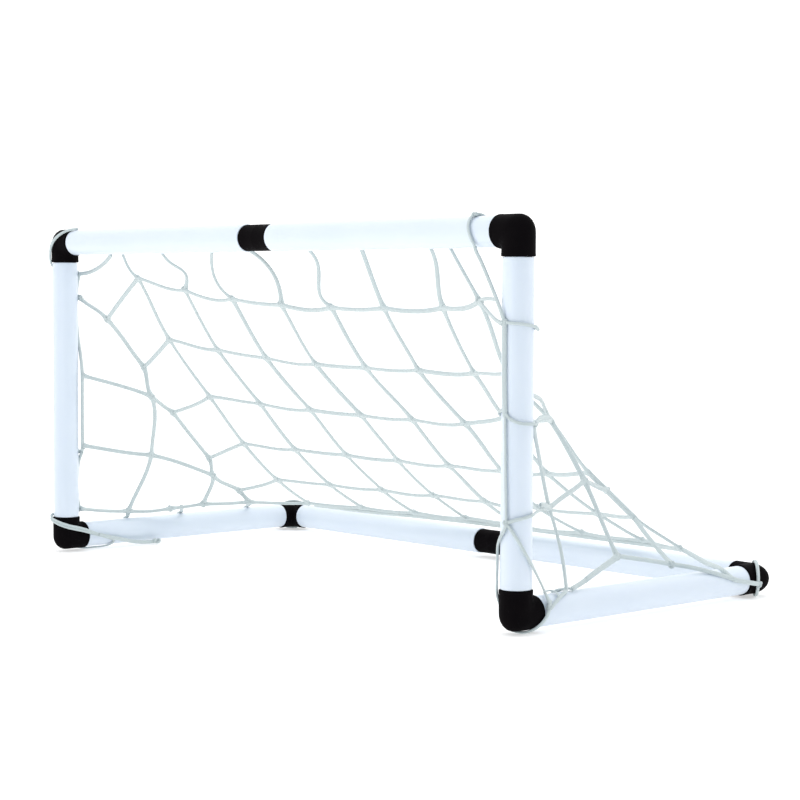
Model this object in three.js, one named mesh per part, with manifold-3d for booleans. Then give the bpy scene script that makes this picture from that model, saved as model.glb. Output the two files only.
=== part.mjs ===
// A small free-standing goal: a push-together frame of plastic tubes on moulded connectors, with a
// knotted net. Millimetres, +Z up, +X to the right as seen from the mouth, +Y from the mouth to the back.
// The origin is on the floor, under the middle of the frame.
import * as THREE from "three";
import { mergeVertices } from "three/addons/utils/BufferGeometryUtils.js";
import Module from "manifold-3d";

const wasm = await Module();
wasm.setup();

// ---- Driving dimensions ----------------------------------------------------------------------
const UPRIGHT_TUBE = 257; // the uprights and the side tubes, between the shoulders that they butt on
const CROSS_TUBE = 280; // each half of the crossbar and of the back bar
const TUBE_R = 12.5;
const TUBE_WALL = 1.6;
const TUBE_LIP = 1.2; // rounding on the tube ends
const FIT_GAP = 0.3; // between a tube end and its shoulder
const ELBOW_R = 13.2;
const ELBOW_ARM = 19.5; // corner centre to shoulder
const BALL_R = 13.5; // rounded outer corner of an elbow
const COLLAR_R = 11.8; // visible middle of a straight coupler
const COLLAR_LENGTH = 38;
const SPIGOT_R = 10.5;
const SPIGOT_LENGTH = 26;
const SPIGOT_LEAD = 1; // chamfer on the spigot's nose
const BORE_R = 8.9;
const SIDES = 16; // facets on every round part
const CORD_R = 2; // a net cord is a square bar, this far from its axis to each edge
const KNOT_R = 3.2;
const CORD_GAP = 0.4; // between a cord and what it lies against
const LOOP_THICK = 2.6; // how far a loop of cord stands off what it is round
const SQUASH = 1.6; // thickness of the loop that is pressed flat under each base corner
const TAIL_KNOT_R = 3.4;
const MESH = 69; // from one column of knots to the next
const ROW_HEIGHT = [292, 235, 181, 133, 88, 51, 23]; // each row of knots above the base tubes' centre lines
const ROW_BACK = [17.1, 30, 73, 122, 172, 223, 283]; // and behind the mouth
const ROW_SLIP = [0, 0, -3, 5, 1, -3, -19]; // how far it has slipped sideways
const LEFT_PULL = [0, 0.8, 1.05, 1.4, 1.65, 1.9, 2.2]; // how hard the left panel draws it forward
const LEFT_LIFT = [0, 1.6, 1.2, 0.6, 0.3, 0.1, 0]; // and up
const PULL_COLUMNS = 5; // the columns that the left panel draws
const HEAD_PLACES = [-231, -166, -85, -30, 54, 124, 209, 232]; // where the columns leave the crossbar
const SEAM_GAP = 6.5; // a side panel's cords stop this far from the back panel's knots
const SIDE_CORD = 11.5; // an edge cord in a post's inner back corner is this far in and back from its axis
const FRONT_CORD = 16.3; // the cord down the front of the right post, from its axis

// ---- Derived places --------------------------------------------------------------------------
const WIDTH = 2 * CROSS_TUBE + COLLAR_LENGTH + 2 * ELBOW_ARM; // centre line to centre line
const HEIGHT = UPRIGHT_TUBE + 2 * ELBOW_ARM;
const DEPTH = UPRIGHT_TUBE + 2 * ELBOW_ARM;
const BASE_Z = SQUASH + CORD_GAP + BALL_R; // centre line of the base tubes
const TOP_Z = BASE_Z + HEIGHT;
const FRONT_Y = -DEPTH / 2;
const BACK_Y = DEPTH / 2;
const SIDE_X = WIDTH / 2;

// ---- Materials -------------------------------------------------------------------------------
const white = new THREE.MeshStandardMaterial({ color: 0xf1f4fa, roughness: 0.35, metalness: 0 });
const black = new THREE.MeshStandardMaterial({ color: 0x111013, roughness: 0.55, metalness: 0 });
const cord = new THREE.MeshStandardMaterial({ color: 0xd6e0e0, roughness: 0.85, metalness: 0 });

// ---- Solids ----------------------------------------------------------------------------------
function toSolid(geometry) {
  const bare = geometry.clone();
  bare.deleteAttribute("normal");
  bare.deleteAttribute("uv");
  const merged = mergeVertices(bare, 1e-4);
  return new wasm.Manifold(
    new wasm.Mesh({
      numProp: 3,
      vertProperties: new Float32Array(merged.attributes.position.array),
      triVerts: new Uint32Array(merged.index.array),
    }),
  );
}

function toGeometry(solid) {
  const made = solid.getMesh();
  const geometry = new THREE.BufferGeometry();
  geometry.setAttribute("position", new THREE.BufferAttribute(made.vertProperties, made.numProp));
  geometry.setIndex(new THREE.BufferAttribute(made.triVerts, 1));
  geometry.computeVertexNormals();
  return geometry;
}

const joinAll = (solids) => wasm.Manifold.union(solids);

// Basis that lays local +X along a and local +Y along b.
function basis(a, b) {
  const x = new THREE.Vector3(...a).normalize();
  const y = new THREE.Vector3(...b).normalize();
  return new THREE.Matrix4().makeBasis(x, y, new THREE.Vector3().crossVectors(x, y));
}

// Solid of a profile (radius, height) turned about an axis that starts at `from` and runs along `along`.
function turned(profile, from, along) {
  const points = [...profile, profile[0]].map(([r, h]) => new THREE.Vector2(r, h));
  const geometry = new THREE.LatheGeometry(points, SIDES, Math.PI / SIDES);
  const turn = new THREE.Quaternion().setFromUnitVectors(
    new THREE.Vector3(0, 1, 0),
    new THREE.Vector3(...along).normalize(),
  );
  geometry.applyQuaternion(turn).translate(...from);
  return geometry;
}

// ---- Frame -----------------------------------------------------------------------------------
function tubeGeometry(length, from, along) {
  const inner = TUBE_R - TUBE_WALL;
  const end = length - 2 * FIT_GAP;
  const profile = [
    [inner, 0],
    [TUBE_R - TUBE_LIP, 0],
    [TUBE_R, TUBE_LIP],
    [TUBE_R, end - TUBE_LIP],
    [TUBE_R - TUBE_LIP, end],
    [inner, end],
  ];
  const start = new THREE.Vector3(...from).addScaledVector(new THREE.Vector3(...along), FIT_GAP);
  return turned(profile, start.toArray(), along);
}

// Solid cylinder from `from`, `length` long along `along`, with a chamfered far end.
function rod(radius, length, from, along, chamfer = 0) {
  const profile = [
    [0, 0],
    [radius, 0],
    [radius, length - chamfer],
  ];
  if (chamfer) profile.push([radius - chamfer, length]);
  profile.push([0, length]);
  return toSolid(turned(profile, from, along));
}

// Elbow with its corner at the origin and its arms along +X and +Y: body, ball, hollow spigots.
function elbowGeometry() {
  const arms = [
    [1, 0, 0],
    [0, 1, 0],
  ];
  const reach = ELBOW_ARM + SPIGOT_LENGTH;
  const outside = [toSolid(new THREE.SphereGeometry(BALL_R, SIDES, SIDES / 2))];
  const bores = [];
  for (const arm of arms) {
    outside.push(rod(ELBOW_R, ELBOW_ARM, [0, 0, 0], arm));
    outside.push(rod(SPIGOT_R, reach, [0, 0, 0], arm, SPIGOT_LEAD));
    const back = arm.map((v) => -v * BORE_R * 0.7);
    bores.push(rod(BORE_R, reach + BORE_R, back, arm));
  }
  return toGeometry(joinAll(outside).subtract(joinAll(bores)));
}

// Straight coupler along the given axis, centred on the origin.
function couplerGeometry(along) {
  const half = COLLAR_LENGTH / 2;
  const nose = half + SPIGOT_LENGTH;
  const profile = [
    [BORE_R, -nose],
    [SPIGOT_R - SPIGOT_LEAD, -nose],
    [SPIGOT_R, -nose + SPIGOT_LEAD],
    [SPIGOT_R, -half],
    [COLLAR_R, -half],
    [COLLAR_R, half],
    [SPIGOT_R, half],
    [SPIGOT_R, nose - SPIGOT_LEAD],
    [SPIGOT_R - SPIGOT_LEAD, nose],
    [BORE_R, nose],
  ];
  return turned(profile, [0, 0, 0], along);
}

const goal = new THREE.Group();
goal.name = "goal";

function add(name, geometry, material, position = [0, 0, 0], orient = null) {
  const mesh = new THREE.Mesh(geometry, material);
  mesh.name = name;
  mesh.position.set(...position);
  if (orient) mesh.quaternion.setFromRotationMatrix(orient);
  goal.add(mesh);
  return mesh;
}

const RIGHT = [1, 0, 0];
const LEFT = [-1, 0, 0];
const BACK = [0, 1, 0];
const FORWARD = [0, -1, 0];
const UP = [0, 0, 1];
const DOWN = [0, 0, -1];

function addFrame() {
  for (const [side, x] of [
    ["left", -SIDE_X],
    ["right", SIDE_X],
  ]) {
    add(side + "_post", tubeGeometry(UPRIGHT_TUBE, [x, FRONT_Y, BASE_Z + ELBOW_ARM], UP), white);
    add(side + "_side_tube", tubeGeometry(UPRIGHT_TUBE, [x, FRONT_Y + ELBOW_ARM, BASE_Z], BACK), white);
  }
  const half = COLLAR_LENGTH / 2;
  for (const [bar, y, z] of [
    ["crossbar", FRONT_Y, TOP_Z],
    ["back_bar", BACK_Y, BASE_Z],
  ]) {
    add(bar + "_left_tube", tubeGeometry(CROSS_TUBE, [-SIDE_X + ELBOW_ARM, y, z], RIGHT), white);
    add(bar + "_right_tube", tubeGeometry(CROSS_TUBE, [half, y, z], RIGHT), white);
    add(bar + "_coupler", couplerGeometry(RIGHT), black, [0, y, z]);
  }
  const elbow = elbowGeometry();
  const corners = [
    ["top_left_elbow", [-SIDE_X, FRONT_Y, TOP_Z], RIGHT, DOWN],
    ["top_right_elbow", [SIDE_X, FRONT_Y, TOP_Z], LEFT, DOWN],
    ["bottom_left_elbow", [-SIDE_X, FRONT_Y, BASE_Z], BACK, UP],
    ["bottom_right_elbow", [SIDE_X, FRONT_Y, BASE_Z], BACK, UP],
    ["back_left_elbow", [-SIDE_X, BACK_Y, BASE_Z], RIGHT, FORWARD],
    ["back_right_elbow", [SIDE_X, BACK_Y, BASE_Z], LEFT, FORWARD],
  ];
  for (const [name, at, armA, armB] of corners) add(name, elbow, black, at, basis(armA, armB));
}

// ---- Net -------------------------------------------------------------------------------------
// The net is set out from the middle of the mouth, at the height of the base tubes' centre lines:
// x to the right, y back, z up.
const inPlace = ([x, y, z]) => [x, FRONT_Y + y, BASE_Z + z];

// The seams, from the top down, and the few knots that the right panel pulls out of line.
const LEFT_SEAM = [
  [-300, 19, 254],
  [-272, 19, 220],
  [-278, 67, 171],
  [-271, 98, 124],
  [-275, 147, 74],
  [-280, 190, 37],
  [-268, 195, 25],
];
const RIGHT_SEAM = [
  [232, 17.1, 292],
  [267, 9, 242],
  [256, 52, 184],
  [252, 107, 143],
  [250, 157, 96],
  [255, 209, 55],
  [262, 265, 23],
];
const PULLED = {
  "7,3": [183, 122, 141],
  "7,4": [188, 171, 90],
  "7,6": [203, 283, 23],
  "6,6": [128, 283, 23],
};

function netKnot(column, row) {
  if (column === 0) return LEFT_SEAM[row];
  if (column === HEAD_PLACES.length) return RIGHT_SEAM[row];
  if (PULLED[`${column},${row}`]) return PULLED[`${column},${row}`];
  const middle = (column - 4) * MESH - 8 + ROW_SLIP[row];
  const pull = Math.max(0, PULL_COLUMNS - column) ** 2;
  return [
    row === 0 ? HEAD_PLACES[column - 1] : middle,
    ROW_BACK[row] - LEFT_PULL[row] * pull,
    ROW_HEIGHT[row] + LEFT_LIFT[row] * pull,
  ];
}

function cordBar(from, to) {
  const start = new THREE.Vector3(...from);
  const span = new THREE.Vector3(...to).sub(start);
  const bar = new THREE.CylinderGeometry(CORD_R, CORD_R, span.length(), 4);
  bar.translate(0, span.length() / 2, 0);
  bar.applyQuaternion(
    new THREE.Quaternion().setFromUnitVectors(new THREE.Vector3(0, 1, 0), span.normalize()),
  );
  return toSolid(bar.translate(...from));
}

const knot = (at) => toSolid(new THREE.OctahedronGeometry(KNOT_R).translate(...at));

function cordPath(points) {
  const bars = [];
  for (let i = 1; i < points.length; i += 1) bars.push(cordBar(points[i - 1], points[i]));
  return bars;
}

// Open lattice through a grid of knots. Each knot is a small block with a pointed cap on both faces,
// and each cord is a square bar that shares the corners of the blocks at its ends.
function latticeGeometry(grid) {
  const lastI = grid[0].length - 1;
  const lastJ = grid.length - 1;
  const at = (i, j) => {
    const clampI = Math.min(Math.max(i, 0), lastI);
    const clampJ = Math.min(Math.max(j, 0), lastJ);
    return new THREE.Vector3(...grid[clampJ][clampI]);
  };
  const positions = [];
  const triangle = (a, b, c) => positions.push(...a.toArray(), ...b.toArray(), ...c.toArray());
  const quad = (a, b, c, d) => {
    triangle(a, b, c);
    triangle(a, c, d);
  };
  const round = [
    [-1, -1],
    [1, -1],
    [1, 1],
    [-1, 1],
  ];

  // A knot's axes: u along its row, v down its column, n out of the panel.
  const axesAt = (i, j) => {
    const u = at(i + 1, j).sub(at(i - 1, j)).normalize();
    const n = u.clone().cross(at(i, j + 1).sub(at(i, j - 1))).normalize();
    return [u, n.clone().cross(u), n];
  };
  const corner = (i, j, signs) => {
    const point = at(i, j);
    axesAt(i, j).forEach((axis, k) => point.addScaledVector(axis, signs[k] * CORD_R * Math.SQRT1_2));
    return point;
  };
  // Corners of one of a knot's sides, anticlockwise from outside for the positive side.
  const face = (i, j, axis, sign) =>
    round.map(([p, q]) => {
      const signs = [0, 0, 0];
      signs[axis] = sign;
      signs[(axis + 1) % 3] = p;
      signs[(axis + 2) % 3] = q;
      return corner(i, j, signs);
    });

  for (let j = 0; j <= lastJ; j += 1) {
    for (let i = 0; i <= lastI; i += 1) {
      const normal = axesAt(i, j)[2];
      for (const sign of [1, -1]) {
        const tip = at(i, j).addScaledVector(normal, sign * KNOT_R);
        const rim = face(i, j, 2, sign);
        rim.forEach((p, k) => {
          const q = rim[(k + 1) % 4];
          if (sign > 0) triangle(p, q, tip);
          else triangle(q, p, tip);
        });
      }
      for (const [axis, last, index] of [
        [0, lastI, i],
        [1, lastJ, j],
      ]) {
        const near = face(i, j, axis, 1);
        if (index === last) quad(...near);
        else {
          const far = axis === 0 ? face(i + 1, j, axis, -1) : face(i, j + 1, axis, -1);
          near.forEach((p, k) => quad(p, near[(k + 1) % 4], far[(k + 1) % 4], far[k]));
        }
        if (index === 0) quad(...face(i, j, axis, -1).reverse());
      }
    }
  }
  const geometry = new THREE.BufferGeometry();
  geometry.setAttribute("position", new THREE.Float32BufferAttribute(positions, 3));
  const merged = mergeVertices(geometry, 1e-4);
  merged.computeVertexNormals();
  return merged;
}

function backPanel() {
  const rows = ROW_HEIGHT.map((_, row) =>
    [0, ...HEAD_PLACES].map((_, column) => inPlace(netKnot(column, row))),
  );
  return latticeGeometry(rows);
}

// A point on the way from `from` to `to`, `short` of its end.
function shortOf(to, from, short) {
  const end = new THREE.Vector3(...to);
  const back = new THREE.Vector3(...from).sub(end).setLength(short);
  return end.add(back).toArray();
}

function panelGeometry(cords, knots) {
  const solids = cords.flatMap((points) => cordPath(points.map(inPlace)));
  for (const at of knots) solids.push(knot(inPlace(at)));
  return toGeometry(joinAll(solids));
}

// The left panel hangs between the back of its post, its side tube and the left seam.
function leftPanel() {
  const post = (height) => [-SIDE_X + SIDE_CORD, SIDE_CORD, height];
  const upper = [-267, 69, 141];
  const centre = [-285, 81, 80];
  const front = [-318, 75, 20.5];
  const lower = [-268, 147, 56];
  const foot = [-285, 147, 25];
  const bend = [-302, 117, 22];
  const cords = [
    [post(238), post(163), post(92), post(24)],
    [post(163), upper, centre, front],
    [post(92), centre, lower, foot],
    [post(24), front, bend, foot, shortOf(LEFT_SEAM[6], foot, SEAM_GAP)],
  ];
  return panelGeometry(cords, [upper, centre, front, lower, foot, bend]);
}

// The right panel hangs from a cord down the front of its post, which turns round the post at its foot.
function rightPanel() {
  const post = (height, turn = 0) => [
    SIDE_X + FRONT_CORD * Math.sin(turn),
    -FRONT_CORD * Math.cos(turn),
    height,
  ];
  const head = [277, -16, 277];
  const upper = [302, 57, 78];
  const centre = [283, 116, 94];
  const front = [318, 45, 17.5];
  const bend = [308, 129, 33];
  const back = [312, 193, 22];
  const around = [0, 1, 2, 3, 4].map((n) => post(77, (n * Math.PI) / 6));
  const cords = [
    [head, [300, -13, 238], [311, -16.5, 228], post(225)],
    [shortOf(RIGHT_SEAM[1], [300, -13, 238], SEAM_GAP), [300, -13, 238]],
    [post(225), ...around, upper],
    [shortOf(RIGHT_SEAM[3], centre, SEAM_GAP), centre, bend],
    [upper, centre, shortOf([252, 178, 80], centre, SEAM_GAP)],
    [upper, front, bend, back, [321, 255, 19]],
    [shortOf(RIGHT_SEAM[5], back, SEAM_GAP), back],
  ];
  return panelGeometry(cords, [upper, centre, front, bend, back]);
}

// The free end of the cord that is wound round the bottom left corner. It lies along the side tube.
const TAIL = [
  [-302.9, 28, 1],
  [-302.9, 38, -2],
  [-303, 52, -5.5],
  [-303.3, 68, -9.5],
  [-303, 82, -11.7],
  [-301.9, 94, -12.1],
];
const TAIL_KNOT = [-301.5, 97.8, -12];

function tailGeometry() {
  const route = new THREE.CatmullRomCurve3(TAIL.map((p) => new THREE.Vector3(...inPlace(p))));
  const section = new THREE.Shape(new THREE.EllipseCurve(0, 0, CORD_R, CORD_R).getPoints(8).slice(0, 8));
  return new THREE.ExtrudeGeometry(section, { steps: 16, extrudePath: route, bevelEnabled: false });
}

// ---- Loops of cord: each hugs a body, cut from a grown copy of it by a thin slab ----------------
// The two arms and ball of a corner, grown by `grow`.
const cornerBody = (at, armA, armB) => (grow) => {
  const ball = toSolid(new THREE.SphereGeometry(BALL_R + grow, SIDES, SIDES / 2).translate(...at));
  return joinAll([ball, ...[armA, armB].map((arm) => rod(ELBOW_R + grow, 90, at, arm))]);
};

// A tube and the edge cord that is tied to it, grown by `grow`; `off` leads from one to the other.
const tiedBody = (at, along, off) => (grow) => {
  const from = at.map((v, i) => v - along[i] * 60);
  const beside = from.map((v, i) => v + off[i]);
  return joinAll([rod(TUBE_R + grow, 120, from, along), rod(CORD_R + grow, 120, beside, along)]);
};

function loopGeometry(bodyAt, point, normal) {
  const slab = new THREE.BoxGeometry(400, LOOP_THICK, 400);
  const turn = new THREE.Quaternion().setFromUnitVectors(
    new THREE.Vector3(0, 1, 0),
    new THREE.Vector3(...normal).normalize(),
  );
  slab.applyQuaternion(turn).translate(...point);
  const aboveFloor = toSolid(new THREE.BoxGeometry(2000, 2000, 400).translate(0, 0, 200));
  const ring = bodyAt(CORD_GAP + LOOP_THICK).subtract(bodyAt(CORD_GAP));
  return toGeometry(ring.intersect(toSolid(slab)).intersect(aboveFloor));
}

function addNet() {
  add("net_back_panel", backPanel(), cord);
  add("net_left_panel", leftPanel(), cord);
  add("net_right_panel", rightPanel(), cord);
  add("tail_bottom_left", tailGeometry(), cord);
  add("tail_knot", new THREE.IcosahedronGeometry(TAIL_KNOT_R, 1), cord, inPlace(TAIL_KNOT));

  // Corner loops: the corner, its two arms, where the loop's plane passes and that plane's normal.
  const corners = [
    ["loop_top_left", [-SIDE_X, FRONT_Y, TOP_Z], RIGHT, DOWN, [-1, 0, 0], [0.87, 0, -0.5]],
    ["loop_bottom_left", [-SIDE_X, FRONT_Y, BASE_Z], BACK, UP, [0, 0, 10], [0, 0.45, 0.89]],
    ["loop_bottom_right", [SIDE_X, FRONT_Y, BASE_Z], BACK, UP, [0, 1.4, 0], [0, 0.97, 0.24]],
    ["loop_back_left", [-SIDE_X, BACK_Y, BASE_Z], RIGHT, FORWARD, [-2, 2, 0], [0.7, -0.7, 0]],
    ["loop_back_right", [SIDE_X, BACK_Y, BASE_Z], LEFT, FORWARD, [2, 2, 0], [-0.7, -0.7, 0]],
  ];
  for (const [name, at, armA, armB, shift, normal] of corners) {
    const point = at.map((v, i) => v + shift[i]);
    add(name, loopGeometry(cornerBody(at, armA, armB), point, normal), cord);
  }

  // Ties: a point on the tube's axis, the axis, the way from there to the cord that is tied, if one lies
  // against the tube, and the normal of the tie's plane where it isn't the axis.
  const corner = [SIDE_CORD, SIDE_CORD, 0];
  const ahead = [0, -FRONT_CORD, 0];
  const bare = [0, 0, 0];
  const ties = {
    tie_crossbar_right: [[SIDE_X - 45, FRONT_Y, TOP_Z], RIGHT, bare],
    tie_left_post_upper: [[-SIDE_X, FRONT_Y, BASE_Z + 244], UP, corner],
    tie_left_post_lower: [[-SIDE_X, FRONT_Y, BASE_Z + 84], UP, corner],
    tie_right_post_upper: [[SIDE_X, FRONT_Y, BASE_Z + 218], UP, ahead],
    tie_right_post_middle: [[SIDE_X, FRONT_Y, BASE_Z + 150], UP, ahead],
    tie_left_side_front: [[-SIDE_X, FRONT_Y + 75, BASE_Z], BACK, bare],
    tie_left_side_middle: [[-SIDE_X, FRONT_Y + 135, BASE_Z], BACK, bare],
    tie_left_side_back: [[-SIDE_X, FRONT_Y + 226, BASE_Z], BACK, bare],
    tie_right_side: [[SIDE_X, FRONT_Y + 37, BASE_Z], BACK, bare, [0, 0.72, -0.69]],
  };
  for (const [name, [at, along, off, normal = along]] of Object.entries(ties)) {
    add(name, loopGeometry(tiedBody(at, along, off), at, normal), cord);
  }
}

addFrame();
addNet();
export default goal;
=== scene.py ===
"""A toy hockey goal: white push-fit tubes, black connectors and a net of knotted cord."""
import math

import bpy
import numpy as np
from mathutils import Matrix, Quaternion, Vector


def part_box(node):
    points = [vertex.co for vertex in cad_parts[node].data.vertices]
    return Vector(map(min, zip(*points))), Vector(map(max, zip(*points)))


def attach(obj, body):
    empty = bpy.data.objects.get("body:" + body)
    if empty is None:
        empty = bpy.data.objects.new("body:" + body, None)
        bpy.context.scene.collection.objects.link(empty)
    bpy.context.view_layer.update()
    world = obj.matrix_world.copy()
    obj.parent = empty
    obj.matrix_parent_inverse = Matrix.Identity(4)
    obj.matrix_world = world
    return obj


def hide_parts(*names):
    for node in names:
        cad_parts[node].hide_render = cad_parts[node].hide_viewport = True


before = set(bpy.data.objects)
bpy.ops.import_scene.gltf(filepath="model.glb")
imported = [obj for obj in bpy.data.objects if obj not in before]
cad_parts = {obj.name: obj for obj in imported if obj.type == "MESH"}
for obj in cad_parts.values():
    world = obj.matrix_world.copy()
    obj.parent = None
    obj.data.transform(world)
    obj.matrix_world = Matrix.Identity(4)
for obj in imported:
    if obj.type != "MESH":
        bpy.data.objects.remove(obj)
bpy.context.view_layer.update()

# ---------------------------------------------------------------- driving dimensions, in millimetres
TUBE_R = 12.5
TUBE_WALL = 1.6
LIP_R = 0.75  # the rounding of a tube's cut end
TUBE_SIDES = 72

ELBOW_R = 13.3
ELBOW_ARM = 19.5  # from the corner's centre to the end of an arm
INNER_FILLET = 2.4
OUTER_CORNER = 11.0  # the rounding of the elbow's outer corner
COLLAR_R = 11.8
RIM = 0.12  # how far the moulded rim at a collar's end stands proud
RIM_WIDTH = 2.4
SEAM_RIDGE = 0.07  # the parting line left by the mould
SEAM_SPREAD = 0.09  # the sine of the angle from its crest where the parting line is down to a third
ELBOW_SIDES = 64
BEND_STEPS = 16
SPIGOT_R = 10.5
SPIGOT_LENGTH = 26
BORE_R = 8.9
BORE_DEPTH = 24

CORD_WIDE = 2.15  # half the width of the flattened braid
CORD_THICK = 1.42  # half its thickness
CORD_SIDES = 12
CORD_STEP = 1.9
KNOT_SIZE = 2.6
KNOT_CORD = 1.3
KNOT_SIDES = 10
KNOT_STEPS = 44
FLARE = 0.45  # how much wider a strand gets where it runs into a knot
FLARE_LENGTH = 4.5
ON_TUBE = TUBE_R + 1.4  # how far from a tube's axis a cord on it runs
SOLE = -15.4  # nothing is pressed lower than this, at the floor
TAIL_CORD = 2.0  # half the diameter of the free tail
TIP_NARROW = 0.55  # the size of a strand's rounded tip, as a share of its section
TIP_REACH = 0.7
LOOP_STEPS = 16

MM = 0.001


def middle(node):
    lo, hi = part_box(node)
    return (lo + hi) / 2


# The net and the loops are set out in millimetres from the middle of the mouth, at the height of the base
# tubes' axes: x to the right, y back, z up.
SIDE = middle("right_post").x / MM
FRONT = middle("left_post").y
BASE = middle("left_side_tube").z
TOP = (middle("crossbar_left_tube").z - BASE) / MM
DEPTH = (middle("back_bar_left_tube").y - FRONT) / MM


def placed(points):
    """Points of the net's own frame, in millimetres, in the CAD frame and in metres."""
    return np.asarray(points, float) * MM + np.array([0.0, FRONT, BASE])


def uneven(seed):
    """A fixed number from -1 to 1 for each seed, for the small differences of hand-tied cord."""
    value = math.sin(seed * 12.9898 + 4.137) * 43758.5453
    return 2 * (value - math.floor(value)) - 1


# ---------------------------------------------------------------- camera
AZIMUTH = math.radians(47.82)
ELEVATION = math.radians(3.23)
ROLL = math.radians(0.25)
CAMERA_DISTANCE = 1.6129
FOCAL_LENGTH = 88.5
AIM = Vector((0.184, FRONT, BASE + 0.1603))


def add_camera():
    camera = bpy.data.cameras.new("camera")
    camera.lens = FOCAL_LENGTH
    camera.sensor_width = 36
    holder = bpy.data.objects.new("camera", camera)
    back = Vector((
        math.sin(AZIMUTH) * math.cos(ELEVATION),
        -math.cos(AZIMUTH) * math.cos(ELEVATION),
        math.sin(ELEVATION),
    ))
    holder.location = AIM + back * CAMERA_DISTANCE
    holder.rotation_mode = "QUATERNION"
    holder.rotation_quaternion = (-back).to_track_quat("-Z", "Y") @ Quaternion((0, 0, 1), ROLL)
    bpy.context.scene.collection.objects.link(holder)
    bpy.context.scene.camera = holder


add_camera()


# ---------------------------------------------------------------- materials
class Nodes:
    """A small helper for writing a material's node tree."""

    def __init__(self, name):
        self.material = bpy.data.materials.new(name)
        self.material.use_nodes = True
        self.tree = self.material.node_tree
        self.shader = self.tree.nodes["Principled BSDF"]

    def add(self, kind, **sockets):
        node = self.tree.nodes.new(kind)
        for key, value in sockets.items():
            self.feed(node.inputs[key.replace("_", " ")], value)
        return node

    def feed(self, socket, value):
        if isinstance(value, bpy.types.NodeSocket):
            self.tree.links.new(value, socket)
        else:
            socket.default_value = value

    def math(self, operation, a, b=0.0):
        node = self.tree.nodes.new("ShaderNodeMath")
        node.operation = operation
        self.feed(node.inputs[0], a)
        self.feed(node.inputs[1], b)
        return node.outputs[0]

    def noise(self, vector, scale, detail, roughness):
        node = self.add("ShaderNodeTexNoise", Scale=scale, Detail=detail, Roughness=roughness)
        self.tree.links.new(vector, node.inputs["Vector"])
        return node.outputs["Fac"]

    def stretched(self, vector, scale):
        node = self.add("ShaderNodeMapping", Scale=scale)
        self.tree.links.new(vector, node.inputs["Vector"])
        return node.outputs["Vector"]

    def ramp(self, value, stops):
        node = self.add("ShaderNodeValToRGB", Fac=value)
        ramp = node.color_ramp
        while len(ramp.elements) < len(stops):
            ramp.elements.new(0.5)
        for element, (place, colour) in zip(ramp.elements, stops):
            element.position = place
            element.color = (*colour, 1.0)
        return node.outputs["Color"]

    def bump(self, height, distance, strength=1.0, normal=None):
        node = self.add("ShaderNodeBump", Height=height, Distance=distance, Strength=strength)
        if normal is not None:
            self.tree.links.new(normal, node.inputs["Normal"])
        return node.outputs["Normal"]


def white_plastic():
    """Extruded rigid plastic: cool white, with faint draw lines along the tube and fine handling scuffs."""
    n = Nodes("white_plastic")
    where = n.add("ShaderNodeTexCoord").outputs["UV"]
    lines = n.noise(n.stretched(where, (90, 3, 1)), 1.0, 3, 0.6)
    cloud = n.noise(n.stretched(where, (2.2, 18, 1)), 1.0, 4, 0.55)
    scuffs = n.noise(n.stretched(where, (12, 420, 1)), 1.0, 8, 0.7)
    marks = n.math("GREATER_THAN", scuffs, 0.66)
    tint = n.ramp(cloud, [(0.3, (0.675, 0.745, 0.83)), (0.7, (0.705, 0.77, 0.845))])
    n.feed(n.shader.inputs["Base Color"], tint)
    rough = n.math("ADD", n.math("MULTIPLY", cloud, 0.12), n.math("MULTIPLY", marks, 0.12))
    n.feed(n.shader.inputs["Roughness"], n.math("ADD", rough, 0.24))
    fine = n.bump(lines, 0.00005, 0.5)
    n.feed(n.shader.inputs["Normal"], n.bump(cloud, 0.0002, 0.35, fine))
    n.shader.inputs["IOR"].default_value = 1.5
    n.shader.inputs["Subsurface Weight"].default_value = 0.12
    n.shader.inputs["Subsurface Radius"].default_value = (0.004, 0.004, 0.005)
    return n.material


def black_connector():
    """Injection-moulded black plastic with a fine spark-eroded texture."""
    n = Nodes("black_connector")
    where = n.add("ShaderNodeTexCoord").outputs["Object"]
    grain = n.noise(where, 2600.0, 2, 0.5)
    cloud = n.noise(where, 60.0, 4, 0.6)
    flow = n.noise(n.stretched(where, (30, 30, 220)), 1.0, 3, 0.5)
    tint = n.ramp(cloud, [(0.3, (0.0032, 0.0026, 0.0032)), (0.75, (0.0048, 0.0038, 0.0044))])
    n.feed(n.shader.inputs["Base Color"], tint)
    n.feed(n.shader.inputs["Roughness"], n.math("ADD", n.math("MULTIPLY", cloud, 0.16), 0.50))
    fine = n.bump(grain, 0.00006, 0.7)
    n.feed(n.shader.inputs["Normal"], n.bump(flow, 0.0001, 0.3, fine))
    n.shader.inputs["Specular IOR Level"].default_value = 0.012
    return n.material


BRAID_STRANDS = 6.0
BRAID_PITCH = 0.0034


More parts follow.
